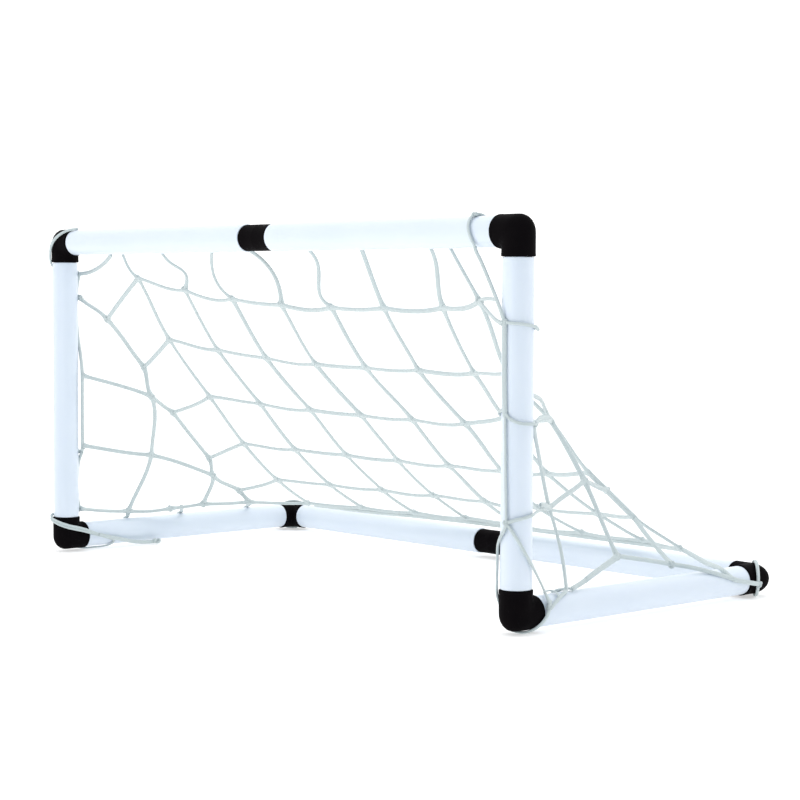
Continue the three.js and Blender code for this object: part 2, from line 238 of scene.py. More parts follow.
def net_cord():
    """A braided cord: two sets of strands wind round it against each other and pass over and under."""
    n = Nodes("net_cord")
    uv = n.add("ShaderNodeSeparateXYZ", Vector=n.add("ShaderNodeTexCoord").outputs["UV"])
    around, along = uv.outputs["X"], uv.outputs["Y"]
    turns = n.math("MULTIPLY", around, BRAID_STRANDS * math.pi)
    run = n.math("MULTIPLY", along, math.pi / BRAID_PITCH * 2)
    left = n.math("ABSOLUTE", n.math("SINE", n.math("ADD", turns, run)))
    right = n.math("ABSOLUTE", n.math("SINE", n.math("SUBTRACT", turns, run)))
    turns_wave = n.math("SINE", n.math("MULTIPLY", turns, 2.0))
    run_wave = n.math("SINE", n.math("MULTIPLY", run, 2.0))
    over = n.math("GREATER_THAN", n.math("MULTIPLY", turns_wave, run_wave), 0.0)
    under = n.math("SUBTRACT", 1.0, over)
    strands = n.math("ADD", n.math("MULTIPLY", left, over), n.math("MULTIPLY", right, under))
    where = n.add("ShaderNodeTexCoord").outputs["Object"]
    fuzz = n.noise(where, 5200.0, 3, 0.7)
    wear = n.noise(where, 34.0, 4, 0.6)
    height = n.math("ADD", n.math("MULTIPLY", strands, 0.8), n.math("MULTIPLY", fuzz, 0.3))
    # painted shade: where the braid is low, in the grooves between its strands, the cord is coloured darker;
    # this is mixed with a random wear tone
    shade = n.math("ADD", n.math("MULTIPLY", height, 0.72), n.math("MULTIPLY", wear, 0.28))
    tint = n.ramp(shade, [
        (0.15, (0.32, 0.37, 0.38)),
        (0.5, (0.48, 0.55, 0.555)),
        (0.9, (0.61, 0.68, 0.68)),
    ])
    n.feed(n.shader.inputs["Base Color"], tint)
    n.feed(n.shader.inputs["Roughness"], n.math("ADD", n.math("MULTIPLY", fuzz, 0.2), 0.55))
    n.feed(n.shader.inputs["Normal"], n.bump(height, 0.00035, 0.8))
    n.shader.inputs["Sheen Weight"].default_value = 0.25
    n.shader.inputs["Sheen Roughness"].default_value = 0.5
    n.shader.inputs["Specular IOR Level"].default_value = 0.3
    return n.material


MATERIALS = {
    "white_tube": white_plastic(),
    "black_connector": black_connector(),
    "net_cord": net_cord(),
}


# ---------------------------------------------------------------- meshes
def add_piece(name, verts, faces, uvs, slot, nodes):
    """A smooth mesh in place in the CAD frame, which rides on the goal and stands for the named CAD nodes."""
    mesh = bpy.data.meshes.new(name)
    mesh.from_pydata([tuple(v) for v in verts], [], faces)
    mesh.polygons.foreach_set("use_smooth", [True] * len(mesh.polygons))
    layer = mesh.uv_layers.new(name="UVMap")
    layer.data.foreach_set("uv", np.asarray(uvs, np.float32).ravel())
    mesh.materials.append(MATERIALS[slot])
    mesh.validate()
    piece = bpy.data.objects.new(name, mesh)
    bpy.context.scene.collection.objects.link(piece)
    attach(piece, "root")
    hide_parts(*nodes)
    return piece


def skin(rings, first=0):
    """Quads that join closed rings of points in turn, with both ends capped, and their texture places."""
    count, sides = rings.shape[:2]
    centres = rings.mean(axis=1)
    run = np.concatenate([[0], np.cumsum(np.linalg.norm(np.diff(centres, axis=0), axis=1))])
    faces, uvs = [], []
    for i in range(count - 1):
        for j in range(sides):
            k = (j + 1) % sides
            a, b = i * sides + first, (i + 1) * sides + first
            faces.append((a + j, a + k, b + k, b + j))
            u, w = j / sides, (j + 1) / sides
            uvs += [(u, run[i]), (w, run[i]), (w, run[i + 1]), (u, run[i + 1])]
    faces.append(tuple(first + j for j in reversed(range(sides))))
    uvs += [(j / sides, run[0]) for j in reversed(range(sides))]
    last = (count - 1) * sides + first
    faces.append(tuple(last + j for j in range(sides)))
    uvs += [(j / sides, run[-1]) for j in range(sides)]
    return faces, uvs


def arc(cx, cr, radius, start, end, steps):
    """Points (distance along, radius) of an arc in a lathe's profile, angles in degrees."""
    angles = np.radians(np.linspace(start, end, steps))
    return [(cx + radius * math.cos(a), cr + radius * math.sin(a)) for a in angles]


def lathe(profile, origin, along):
    """Rings of a profile turned about the axis through origin. Distances in millimetres."""
    along = Vector(along).normalized()
    side = along.orthogonal().normalized()
    if abs(along.z) < 0.9:
        side = Vector((0, 0, 1)).cross(along).normalized()
    up = along.cross(side)
    angles = np.arange(TUBE_SIDES) * 2 * math.pi / TUBE_SIDES
    rings = []
    for distance, radius in profile:
        ring = np.outer(np.cos(angles) * radius, side) + np.outer(np.sin(angles) * radius, up)
        rings.append(np.array(origin) + (ring + np.array(along) * distance) * MM)
    return np.array(rings)


# ---------------------------------------------------------------- white tubes
TUBES = (
    "left_post", "right_post", "left_side_tube", "right_side_tube",
    "crossbar_left_tube", "crossbar_right_tube", "back_bar_left_tube", "back_bar_right_tube",
)
TUBE_STEP = 12.0


def tube_profile(length):
    """Once round the wall of a tube: out along the outside, round the lip, and back along the bore."""
    outer = TUBE_R - LIP_R
    inner = TUBE_R - TUBE_WALL + LIP_R
    steps = max(2, round(length / TUBE_STEP))
    stations = np.linspace(LIP_R, length - LIP_R, steps + 1)
    profile = arc(LIP_R, outer, LIP_R, 180, 90, 6)
    profile += [(s, TUBE_R) for s in stations[1:-1]]
    profile += arc(length - LIP_R, outer, LIP_R, 90, 0, 6)
    profile += arc(length - LIP_R, inner, LIP_R, 0, -90, 5)
    profile += [(s, TUBE_R - TUBE_WALL) for s in reversed(stations[1:-1])]
    profile += arc(LIP_R, inner, LIP_R, 270, 180, 5)
    return profile


def add_tube(node):
    lo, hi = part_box(node)
    size = hi - lo
    axis = max(range(3), key=lambda i: size[i])
    along = Vector([1.0 if i == axis else 0.0 for i in range(3)])
    start = middle(node)
    start[axis] = lo[axis]
    profile = tube_profile(size[axis] / MM)
    rings = lathe(profile, start, along)
    count, sides = rings.shape[:2]
    faces, uvs = [], []
    for i in range(count):
        n = (i + 1) % count
        for j in range(sides):
            k = (j + 1) % sides
            faces.append((i * sides + j, i * sides + k, n * sides + k, n * sides + j))
            u, w = j / sides, (j + 1) / sides
            a, b = profile[i][0] * MM, profile[n][0] * MM
            uvs += [(u, a), (w, a), (w, b), (u, b)]
    add_piece(node + "_extrusion", rings.reshape(-1, 3), faces, uvs, "white_tube", [node])


for tube in TUBES:
    add_tube(tube)


# ---------------------------------------------------------------- black connectors
def collar_end(distance, radius):
    """Profile points from a collar's rim, down its face to the spigot, along that and into its bore."""
    tip = distance + SPIGOT_LENGTH
    return (
        [(distance - RIM_WIDTH - 0.5, radius), (distance - RIM_WIDTH, radius + RIM)]
        + arc(distance - 0.6, radius + RIM - 0.6, 0.6, 90, 0, 5)
        + [(distance, SPIGOT_R + 0.2), (distance + 0.2, SPIGOT_R)]
        + arc(tip - 1.0, SPIGOT_R - 1.0, 1.0, 90, 0, 4)
        + [(tip, BORE_R + 0.2), (tip - 0.3, BORE_R), (tip - BORE_DEPTH, BORE_R), (tip - BORE_DEPTH, 0.4)]
    )


def corner_reach(angle):
    """How far a rounded square's edge is from its inner corner, for a unit square."""
    k = OUTER_CORNER / (2 * ELBOW_R)
    a = min(angle, math.pi / 2 - angle)
    if math.tan(a) < 1 - k:
        return 1 / math.cos(a)
    across = (1 - k) * (math.cos(a) - math.sin(a))
    return (1 - k) * (math.cos(a) + math.sin(a)) + math.sqrt(max(k * k - across * across, 0))


def add_elbow(node, corner, arm_a, arm_b):
    """A two-arm elbow. The section swings round a line just inside the inner corner, from one arm to the
    other."""
    a, b = Vector(arm_a), Vector(arm_b)
    n = a.cross(b)
    angles = np.arange(ELBOW_SIDES) * 2 * math.pi / ELBOW_SIDES
    bulge = SEAM_RIDGE * np.exp(-(np.sin(angles) / SEAM_SPREAD) ** 2)
    reach = ELBOW_R + INNER_FILLET
    centre = Vector(corner) + (a + b) * reach
    rings = []

    def ring(axis, out, distance, radius, ridge):
        # out is the way across the arm, away from the inner corner; distance is from the corner's centre
        r = radius + bulge * ridge
        across = np.outer(np.cos(angles) * r, out) + np.outer(np.sin(angles) * r, n)
        return np.array(Vector(corner) + axis * distance) + across

    # arm a: from the bore out to the rim and in to the bend, then the same along arm b
    arm = collar_end(ELBOW_ARM, ELBOW_R)
    for s, r in reversed(arm):
        rings.append(ring(a, -b, s, r, 1.0 if s < ELBOW_ARM else 0.0))
    for step in range(BEND_STEPS + 1):
        turn = math.pi / 2 * step / BEND_STEPS
        away = -(b * math.cos(turn) + a * math.sin(turn))
        grow = corner_reach(turn)
        r = ELBOW_R + bulge
        out = INNER_FILLET + ELBOW_R + np.cos(angles) * r
        grown = np.where(out > 0, out * grow, out)
        points = np.outer(grown, away) + np.outer(np.sin(angles) * r, n)
        rings.append(np.array(centre) + points)
    for s, r in arm:
        rings.append(ring(b, -a, s, r, 1.0 if s < ELBOW_ARM else 0.0))
    rings = placed(np.array(rings))
    faces, uvs = skin(rings)
    add_piece(node + "_moulding", rings.reshape(-1, 3), faces, uvs, "black_connector", [node])


def add_coupler(node):
    lo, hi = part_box(node)
    centre = middle(node)
    half = (hi.x - lo.x) / MM / 2 - SPIGOT_LENGTH
    end = collar_end(half, COLLAR_R)
    groove = [(-0.5, COLLAR_R), (0, COLLAR_R + SEAM_RIDGE), (0.5, COLLAR_R)]
    profile = [(-s, r) for s, r in reversed(end)] + groove + end
    rings = lathe(profile, centre, (1, 0, 0))
    faces, uvs = skin(rings)
    add_piece(node + "_moulding", rings.reshape(-1, 3), faces, uvs, "black_connector", [node])


RIGHT, LEFT = (1, 0, 0), (-1, 0, 0)
BACK, FORWARD = (0, 1, 0), (0, -1, 0)
UP, DOWN = (0, 0, 1), (0, 0, -1)
ELBOWS = {
    "top_left_elbow": ((-SIDE, 0, TOP), RIGHT, DOWN),
    "top_right_elbow": ((SIDE, 0, TOP), LEFT, DOWN),
    "bottom_left_elbow": ((-SIDE, 0, 0), BACK, UP),
    "bottom_right_elbow": ((SIDE, 0, 0), BACK, UP),
    "back_left_elbow": ((-SIDE, DEPTH, 0), RIGHT, FORWARD),
    "back_right_elbow": ((SIDE, DEPTH, 0), LEFT, FORWARD),
}
for elbow, (corner, arm_a, arm_b) in ELBOWS.items():
    add_elbow(elbow, corner, arm_a, arm_b)
for coupler in ("crossbar_coupler", "back_bar_coupler"):
    add_coupler(coupler)


# ---------------------------------------------------------------- cords
def smooth_route(points):
    """A centripetal curve through the given points, with a point about every CORD_STEP millimetres."""
    p = np.asarray(points, float)
    p = np.vstack([2 * p[0] - p[1], p, 2 * p[-1] - p[-2]])
    out = []
    for i in range(1, len(p) - 2):
        p0, p1, p2, p3 = p[i - 1:i + 3]
        count = max(2, round(np.linalg.norm(p2 - p1) / CORD_STEP))
        t0 = 0.0
        t1 = t0 + max(np.linalg.norm(p1 - p0), 1e-6) ** 0.5
        t2 = t1 + max(np.linalg.norm(p2 - p1), 1e-6) ** 0.5
        t3 = t2 + max(np.linalg.norm(p3 - p2), 1e-6) ** 0.5
        for t in np.linspace(t1, t2, count, endpoint=False):
            a1 = (t1 - t) / (t1 - t0) * p0 + (t - t0) / (t1 - t0) * p1
            a2 = (t2 - t) / (t2 - t1) * p1 + (t - t1) / (t2 - t1) * p2
            a3 = (t3 - t) / (t3 - t2) * p2 + (t - t2) / (t3 - t2) * p3
            b1 = (t2 - t) / (t2 - t0) * a1 + (t - t0) / (t2 - t0) * a2
            b2 = (t3 - t) / (t3 - t1) * a2 + (t - t1) / (t3 - t1) * a3
            out.append((t2 - t) / (t2 - t1) * b1 + (t - t1) / (t2 - t1) * b2)
    out.append(p[-2])
    return np.array(out)


def tangents(path):
    t = np.gradient(path, axis=0)
    return t / np.maximum(np.linalg.norm(t, axis=1), 1e-9)[:, None]


def cord_rings(path, facing, seed, flare, scale):
    """Rings of the flattened braid along path. facing is the way its flat side looks, which drifts a
    little."""
    t = tangents(path)
    run = np.concatenate([[0], np.cumsum(np.linalg.norm(np.diff(path, axis=0), axis=1))])
    total = run[-1]
    twist = 0.35 * uneven(seed) + 0.3 * uneven(seed + 0.5) * np.cos(run / 31.0 + 3 * uneven(seed + 0.25))
    swell = np.zeros(len(path))
    if flare[0]:
        swell += FLARE * np.exp(-(run / FLARE_LENGTH) ** 2)
    if flare[1]:
        swell += FLARE * np.exp(-((total - run) / FLARE_LENGTH) ** 2)
    angles = np.arange(CORD_SIDES) * 2 * math.pi / CORD_SIDES
    facing = np.asarray(facing, float)
    if facing.ndim == 1:
        facing = np.tile(facing, (len(path), 1))
    rings = []
    for p, d, f, w, s in zip(path, t, facing, twist, swell):
        flat = np.cross(d, f)
        size = np.linalg.norm(flat)
        flat = flat / size if size > 1e-6 else np.array(Vector(d).orthogonal().normalized())
        thick = np.cross(d, flat)
        u = math.cos(w) * flat + math.sin(w) * thick
        v = math.cos(w) * thick - math.sin(w) * flat
        wide = CORD_WIDE * scale * (1 + s)
        deep = CORD_THICK * min(scale, 1.15) * (1 + 1.6 * s)
        rings.append(p + np.outer(np.cos(angles) * wide, u) + np.outer(np.sin(angles) * deep, v))
    rings = np.array(rings)
    # each end closes in a rounded tip
    for end, step in ((0, -1), (-1, 1)):
        tip = path[end] + (rings[end] - path[end]) * TIP_NARROW + t[end] * step * TIP_REACH
        rings = np.vstack([tip[None], rings]) if end == 0 else np.vstack([rings, tip[None]])
    rings[:, :, 2] = np.maximum(rings[:, :, 2], SOLE)
    return rings


def knot_rings(at, along, facing, seed, size=KNOT_SIZE):
    """The rings of a small hand-tied knot: one closed turn over and under itself."""
    d = np.asarray(along, float)
    d = d / np.linalg.norm(d)
    f = np.asarray(facing, float)
    side = np.cross(d, f)
    side = side / max(np.linalg.norm(side), 1e-9)
    f = np.cross(side, d)
    spin = 2.1 * uneven(seed + 0.7)
    tau = np.linspace(0, 2 * math.pi, KNOT_STEPS, endpoint=False) + spin
    x = (np.sin(tau) + 2 * np.sin(2 * tau)) / 3 * size
    y = (np.cos(tau) - 2 * np.cos(2 * tau)) / 3 * size * (1.12 + 0.1 * uneven(seed + 0.3))
    z = -np.sin(3 * tau) * size * 0.34
    path = np.asarray(at, float) + np.outer(x, side) + np.outer(y, d) + np.outer(z, f)
    t = np.roll(path, -1, axis=0) - np.roll(path, 1, axis=0)
    t = t / np.linalg.norm(t, axis=1)[:, None]
    angles = np.arange(KNOT_SIDES) * 2 * math.pi / KNOT_SIDES
    rings = []
    for p, q in zip(path, t):
        u = np.cross(q, f)
        u = u / np.linalg.norm(u)
        v = np.cross(q, u)
        rings.append(p + np.outer(np.cos(angles) * KNOT_CORD, u) + np.outer(np.sin(angles) * KNOT_CORD, v))
    return np.array(rings)


FRAME_LINES = (
    ((-SIDE, 0, 0), (-SIDE, 0, TOP)),
    ((SIDE, 0, 0), (SIDE, 0, TOP)),
    ((-SIDE, 0, TOP), (SIDE, 0, TOP)),
    ((-SIDE, 0, 0), (-SIDE, DEPTH, 0)),
    ((SIDE, 0, 0), (SIDE, DEPTH, 0)),
    ((-SIDE, DEPTH, 0), (SIDE, DEPTH, 0)),
)


def off_frame(path):
    """For each point of a path, the way straight out from the nearest tube of the frame."""
    out = np.zeros_like(path)
    nearest = np.full(len(path), 1e9)
    for a, b in FRAME_LINES:
        a, b = np.array(a, float), np.array(b, float)
        t = np.clip((path - a) @ (b - a) / ((b - a) @ (b - a)), 0, 1)
        away = path - (a + np.outer(t, b - a))
        gap = np.linalg.norm(away, axis=1)
        closer = gap < nearest
        nearest[closer] = gap[closer]
        out[closer] = away[closer] / gap[closer, None]
    return out


class CordPiece:
    """Collects strands and knots and makes one piece of them."""

    def __init__(self, name):
        self.name = name
        self.verts, self.faces, self.uvs = [], [], []
        self.count = 0

    def strand(self, path, facing, seed, flare=(False, False), scale=1.0):
        path = np.asarray(path, float)
        rings = placed(cord_rings(path, facing, seed, flare, scale))
        faces, uvs = skin(rings, self.count)
        self.take(rings, faces, uvs)

    def route(self, points, seed, scale=1.0, facing=None, flare=(False, False)):
        """A strand through the given points. Unless told otherwise its flat side lies on the frame."""
        path = smooth_route(points)
        self.strand(path, off_frame(path) if facing is None else facing, seed, flare, scale)

    def knot(self, at, along, facing, seed, size=KNOT_SIZE):
        rings = placed(knot_rings(at, along, facing, seed, size))
        count, sides = rings.shape[:2]
        first = self.count
        faces, uvs = [], []
        for i in range(count):
            n = (i + 1) % count
            for j in range(sides):
                k = (j + 1) % sides
                near, far = first + i * sides, first + n * sides
                faces.append((near + j, near + k, far + k, far + j))
                a, b = i * CORD_STEP * MM, (i + 1) * CORD_STEP * MM
                uvs += [(j / sides, a), ((j + 1) / sides, a), ((j + 1) / sides, b), (j / sides, b)]
        self.take(rings, faces, uvs)

    def take(self, rings, faces, uvs):
        self.verts.append(rings.reshape(-1, 3))
        self.faces += faces
        self.uvs += uvs
        self.count += rings.shape[0] * rings.shape[1]

    def finish(self, *nodes):
        return add_piece(self.name, np.vstack(self.verts), self.faces, self.uvs, "net_cord", nodes)


# ---------------------------------------------------------------- the net's knots
# Columns and rows are counted from 1, so the first entry of each list below is a blank.
COLUMNS = range(1, 9)
ROWS = range(1, 7)
MESH = 69.0  # from one column of knots to the next
ROW_HEIGHT = (0, 235, 181, 133, 88, 51, 23)
ROW_DEPTH = (0, 30, 73, 122, 172, 223, 283)
ROW_SHIFT = (0, 0, -3, 5, 1, -3, -19)  # how far each row has slipped sideways
LEFT_PULL = (0, 0.8, 1.05, 1.4, 1.65, 1.9, 2.2)  # the left side panel draws the net forward
LEFT_LIFT = (0, 1.6, 1.2, 0.6, 0.3, 0.1, 0.0)
BAR_PLACES = (0, -231, -166, -85, -30, 54, 124, 209, 232)  # where each column leaves the crossbar
MIDDLE_COLUMN = 4
PULL_COLUMNS = 5


def net_knots():
    k = {}
    for c in COLUMNS:
        for r in ROWS:
            pull = max(0, PULL_COLUMNS - c) ** 2
            x = MESH * (c - MIDDLE_COLUMN) - 8 + ROW_SHIFT[r]
            y = ROW_DEPTH[r] - LEFT_PULL[r] * pull
            z = ROW_HEIGHT[r] + LEFT_LIFT[r] * pull
            k[f"c{c}r{r}"] = (x, y, z)
        k[f"c{c}r0"] = (BAR_PLACES[c], 9.5, TOP - 10.5)
    # the right edge of the back panel, which the right side panel holds
    k.update({
        "c6r6": (128, 283, 23), "c7r1": (202, 31, 236), "c7r3": (183, 122, 141),
        "c7r4": (188, 171, 90), "c7r5": (198, 227, 51), "c7r6": (203, 283, 23),
        "c8r1": (267, 9, 242), "c8r2": (256, 52, 184), "c8r3": (252, 107, 143),
        "c8r4": (250, 157, 96), "c8r5": (255, 209, 55), "c8r6": (262, 265, 23),
    })
    # the left seam and the left side panel
    k.update({
        "c0r1": (-272, 19, 220), "c0r2": (-278, 67, 171), "c0r3": (-271, 98, 124), "c0r4": (-275, 147, 74),
        "c0r5": (-280, 190, 37), "c0r6": (-268, 195, 25),
        "l1": (-267, 69, 141), "l2": (-285, 81, 80), "l3": (-318, 75, 20), "l4": (-268, 147, 56),
        "l5": (-285, 147, 25), "l6": (-302, 117, 21),
        "post_l1": (-313.4, 13.6, 241), "post_l2": (-307.2, 12.2, 163),
        "post_l3": (-307.2, 12.2, 92), "post_l4": (-316, 14.8, 27),
    })
    # the right side panel
    k.update({
        "r1": (300, 56, 77), "r2": (283, 116, 94), "r4": (252, 178, 80),
        "r5": (308, 129, 33), "r6": (312, 193, 21),
        "post_r": (325, 11, 146.5),
    })
    return {name: np.array(p, float) for name, p in k.items()}


KNOT = net_knots()
SLOPE = np.array([0.0, -0.68, -0.73])  # the way the back panel looks, towards the mouth and down


def run_cord(piece, names, facing, seed, sag, bows=None, scale=1.0):
    """One cord through the named knots. It keeps its direction through each knot and sags a little
    between."""
    bows = bows or {}
    points = np.array([KNOT[n] for n in names])
    ahead = np.zeros_like(points)
    for i in range(len(points)):
        a, b = points[max(i - 1, 0)], points[min(i + 1, len(points) - 1)]
        ahead[i] = (b - a) / max(np.linalg.norm(b - a), 1e-9)
    for i in range(len(points) - 1):
        a, b = points[i], points[i + 1]
        chord = np.linalg.norm(b - a)
        direct = (b - a) / chord
        out = 0.5 * (direct + ahead[i]) * chord
        into = 0.5 * (direct + ahead[i + 1]) * chord
        count = max(8, round(chord / CORD_STEP))
        t = np.linspace(0, 1, count + 1)[:, None]
        curve = (
            (2 * t**3 - 3 * t**2 + 1) * a + (t**3 - 2 * t**2 + t) * out
            + (3 * t**2 - 2 * t**3) * b + (t**3 - t**2) * into
        )
        hump = 4 * t * (1 - t)
        level = math.sqrt(max(0.0, 1 - direct[2] ** 2))
        curve[:, 2:] -= hump * sag * level * (1 + 0.5 * uneven(seed + i))
        across = np.cross(direct, facing)
        curve += hump * across * 0.9 * uneven(seed + i + 0.4)
        curve += np.sin(2 * math.pi * t) * across * 0.7 * uneven(seed + i + 0.8)
        if (names[i], names[i + 1]) in bows:
            bow, wave = bows[(names[i], names[i + 1])]
            curve += hump * np.array(bow, float) + np.sin(2 * math.pi * t) * np.array(wave, float)
        piece.strand(curve, facing, seed * 7.3 + i, (i > 0 or names[0][0] == "p", True), scale)


def tie_knots(piece, names, facing, seed):
    for i, name in enumerate(names):
        piece.knot(KNOT[name], (0, 0.7, -0.7), facing, seed + i)


# The slack top strands: how far each bows sideways, and how far it waves from side to side.
TOP_BOWS = {
    ("c1r0", "c1r1"): ((-2, 0, -3), (0, 0, 0)),
    ("c2r0", "c2r1"): ((7, 2, 3), (-5, 0, -2)),
    ("c3r0", "c3r1"): ((-9, -1, -3), (0, 0, 0)),
    ("c4r0", "c4r1"): ((9, 2, 4), (0, 0, 0)),
    ("c5r0", "c5r1"): ((-1, 0, -1), (4, 1, 2)),
    ("c7r0", "c7r1"): ((1, 0, 0), (2, 0, 1)),
}


def add_back_net():
    piece = CordPiece("net_back_cords")
    for c in COLUMNS:
        run_cord(piece, [f"c{c}r{r}" for r in range(7)], SLOPE, 10 + c, 0.8, TOP_BOWS)
    for r in ROWS:
        first = 0 if r < 6 else 1
        names = [f"c{c}r{r}" for c in range(first, 9)]
        run_cord(piece, names, SLOPE, 30 + r, 2.4 if r == 1 else 1.4)
    for c in COLUMNS:
        for r in ROWS:
            piece.knot(KNOT[f"c{c}r{r}"], (0.1, 0.7, -0.7), SLOPE, c * 9 + r)
    # the head rope lies along the back of the crossbar
    head = [
        (x, ON_TUBE + 1.5 + 0.8 * uneven(x), TOP - 3 + 2 * uneven(x + 5))
        for x in range(-228, 240, 36)
    ]
    piece.route(head, 41, 1.1)
    # the hem: a second, thicker cord along the last row, which hangs clear of the back bar
    hem = [KNOT[f"c{c}r6"] + np.array([0, 3.0, -4.2]) for c in range(2, 8)]
    left_end = KNOT["c1r6"] + np.array([6, 4, -2])
    right_end = KNOT["c8r6"] + np.array([-1, 0, -1])
    piece.route([left_end] + hem + [right_end], 42, 1.25, SLOPE)
    # the slack top corner, from the crossbar down to the left post
    piece.route([
        (-241, 3, 283), (-250, 5, 278.5), (-264, 8, 273.5), (-281, 11, 269), (-298, 13, 266),
        (-313, 13.4, 265),
    ], 43, 1.0, (0.3, -0.9, 0.3))
    piece.finish("net_back_panel")


def add_left_net():
    piece = CordPiece("net_left_cords")
    facing = np.array([0.93, -0.3, 0.2])
    seam = ["post_l1", "c0r1", "c0r2", "l1", "c0r3", "c0r4", "l4", "c0r5", "c0r6"]
    run_cord(piece, seam, facing, 51, 0.6)
    run_cord(piece, ["post_l2", "l1", "l2", "l3"], facing, 52, 1.5)
    run_cord(piece, ["post_l3", "l2", "l4", "l5"], facing, 53, 1.0)
    run_cord(piece, ["post_l4", "l3", "l6", "l5", "c0r6", "c1r6"], (0, -0.3, 0.95), 54, 1.0, None, 1.15)
    knots = ["c0r1", "c0r2", "c0r3", "c0r4", "c0r5", "l1", "l2", "l3", "l4", "l5", "l6", "c0r6"]
    tie_knots(piece, knots, facing, 60)
    # the rope that is laced down the post's inner back corner
    piece.route([
        (-313, 13.4, 265), (-319, 14.3, 252), (-320.5, 14.2, 225), (-318, 14.2, 203), (-312, 13.4, 184),
        (-307.6, 12.4, 168), (-307.2, 12.3, 145), (-307.2, 12.3, 115), (-307.2, 12.3, 92),
        (-310.4, 13.2, 84), (-317, 14.2, 76), (-320.5, 14.3, 58), (-320, 14.5, 38), (-317.5, 14.8, 27.5),
    ], 55, 1.25)
    for height, seed in ((163, 56), (91, 57)):
        piece.knot((-306.8, 12.6, height), (0, 0, 1), (0.6, 0.7, 0), seed, 2.3)
    piece.finish("net_left_panel")


def add_right_net():
    piece = CordPiece("net_right_cords")
    facing = np.array([0.93, -0.2, 0.3])
    front = (318.1, -14.3, 226.2)
    foot = (321.2, -14.1, 72.2)
    # from the crossbar down to the head of the front cord, and the two strands that join it from the
    # back panel
    piece.route([
        (280.2, -9.4, 284), (282, -9.4, 280), (286.1, -9.6, 274.7), (303.7, -12.6, 250.7),
        (312.9, -14.2, 237), front,
    ], 88, 0.75, (0, -1, 0))
    piece.route([
        KNOT["c8r1"], (280.2, 1, 243.7), (293.9, -6, 244), (307.5, -12.9, 243.3),
    ], 89, 0.72, (0, -1, 0), (True, False))
    piece.route([
        KNOT["c8r1"], (280.3, 1, 237.4), (293, -5, 232.1), (305.6, -11.2, 227.7), (316, -15, 225.4),
    ], 90, 0.85, (0, -1, 0), (True, False))
    # the front cord, which is drawn tight, and thinner, below the middle tie
    piece.route([front, (318.1, -14.2, 205), (318.4, -14.2, 178), (319.2, -14.2, 154)], 91, 0.9)
    piece.route([(319.1, -14.2, 158), (319.8, -14.1, 121), (320.4, -14.1, 98), foot], 109, 0.62)
    piece.knot(front, (0, 0, 1), (0.2, -1, 0), 92, 1.7)
    piece.knot(foot, (0, 0, 1), (0.4, -1, 0), 93, 1.7)
    # round the post from its foot, and off to the side panel
    around = [
        foot, (327.5, -11.2, 74.8), (332.1, -4.6, 76.6), (332.4, 4.1, 78.3), (328.4, 10.4, 79),
        (316, 33, 79.6), KNOT["r1"],
    ]
    piece.route(around, 94, 0.66, None, (False, True))
    piece.route([(323, 22, 84), (314, 37, 82), KNOT["r1"]], 105, 1.0, facing, (False, True))
    run_cord(piece, ["c8r3", "r2", "r5"], facing, 95, 0.8)
    run_cord(piece, ["post_r", "r1"], facing, 96, 0.8)
    piece.route([
        KNOT["r1"], (309, 55.5, 58), (317, 54.5, 36), (322.9, 52.6, 14.6),
    ], 97, 0.8, facing, (True, False))
    run_cord(piece, ["r1", "r2", "r4"], facing, 98, 1.0)
    # doubled strands, where the panel is laced to the post and along the slope
    piece.route([
        (319.5, 14.4, 170), (304.3, 40, 165), (278, 73.5, 154.6), KNOT["c8r3"],
    ], 107, 1.1, facing, (False, True))
    piece.route([
        (330.2, 8.8, 147.6), (314, 30, 151), (294, 62, 149), KNOT["c8r3"],
    ], 108, 0.9, facing, (False, True))
    piece.route([KNOT["c8r4"], KNOT["c8r4"] + np.array([4, 24, -20]), KNOT["c8r5"]], 106, 1.2, facing)
    run_cord(piece, ["c8r5", "r6"], facing, 99, 0.8)
    # the rope from the side tube back to the corner
    piece.route([
        (322.7, 59.2, 14.6), (319.5, 74, 17.6), (314.8, 94, 22.8), KNOT["r5"],
    ], 100, 1.0, facing, (False, True))
    piece.route([(318, 80, 19), (313.6, 100, 24.6), KNOT["r5"] + np.array([0, -1, -1.2])], 104, 1.2, facing)
    piece.route([
        KNOT["r5"], (311, 160, 27.5), KNOT["r6"], (320, 212, 17), (328.5, 237, 9.7), (331.5, 252, 4.8),
    ], 101, 0.9, facing)
    piece.route([
        KNOT["c8r6"], (278, 262.5, 19), (296, 258.5, 14.5), (312, 252, 13.4), (326, 246, 11),
        (331.9, 254, 3.6),
    ], 102, 1.2, (0, -0.3, 0.95))
    tie_knots(piece, ["r1", "r2", "r4", "r5", "r6"], facing, 103)
    piece.finish("net_right_panel")


# ---------------------------------------------------------------- loops and ties
def around_tube(axis_at, first, second, stations):
    """Points round a tube, each from an angle in degrees, a distance from the axis and a distance along it.
    Angles turn from the first direction to the second."""
    a, b = np.array(first, float), np.array(second, float)
    n = np.cross(a, b)
    return [
        np.array(axis_at, float) + r * (math.cos(math.radians(t)) * a + math.sin(math.radians(t)) * b) + s * n
        for t, r, s in stations
    ]


def add_top_left_loop():
    piece = CordPiece("top_left_hitch")
    t = TOP
    piece.route([
        (-291, -3.4, t + 13.6), (-299.5, -8, t + 12), (-307.5, -11.8, t + 8.6), (-315, -14.3, t + 3.2),
        (-320.5, -14.9, t - 3), (-324.2, -13.8, t - 10), (-326.6, -12.2, t - 17), (-330.2, -8, t - 22.5),
        (-332.5, -2, t - 25.5), (-331.2, 5.8, t - 27), (-325.4, 12.2, t - 28), (-318, 14.1, t - 29),
        (-313, 13.4, t - 31),
    ], 130, 0.75)
    piece.finish("loop_top_left")


